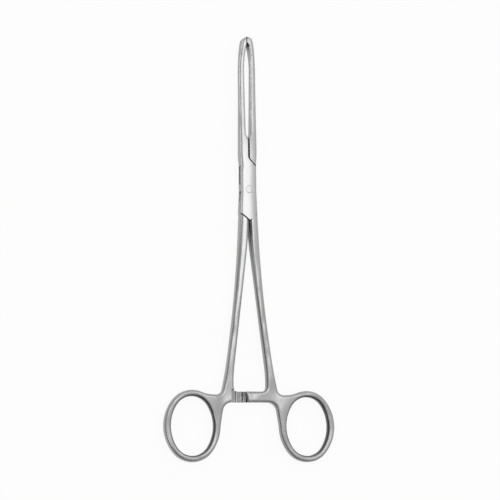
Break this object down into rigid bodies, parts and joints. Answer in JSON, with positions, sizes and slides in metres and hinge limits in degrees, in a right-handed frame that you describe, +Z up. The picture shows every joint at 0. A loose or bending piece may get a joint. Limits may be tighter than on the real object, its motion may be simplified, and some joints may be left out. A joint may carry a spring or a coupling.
{
  "type": "tissue forceps",
  "caption": "Ring-handled tissue forceps with interlocking jaw teeth, a box lock at the pivot and ratchet racks between the finger rings.",
  "frame": {"origin": "on the pivot's axis, at the flat underside of the box lock, with the instrument lying flat and closed", "axes": "+Y along the instrument towards the jaws, +Z up through its thickness, +X to the right"},
  "size_m": [0.0822, 0.1999, 0.0058],
  "materials": {
    "steel_female": "satin stainless steel",
    "steel_male": "satin stainless steel",
    "steel_pin": "satin stainless steel, ground flush"
  },
  "bodies": {
    "female_body": {"female_half": "steel_female", "pivot_pin": "steel_pin"},
    "male_body": {"male_half": "steel_male"}
  },
  "joints": [
    {"name": "pivot", "type": "hinge", "parent": "female_body", "child": "male_body", "pos_m": [0, 0, 0.0029], "axis": [0, 0, -1], "range_deg": [0, 30]}
  ]
}
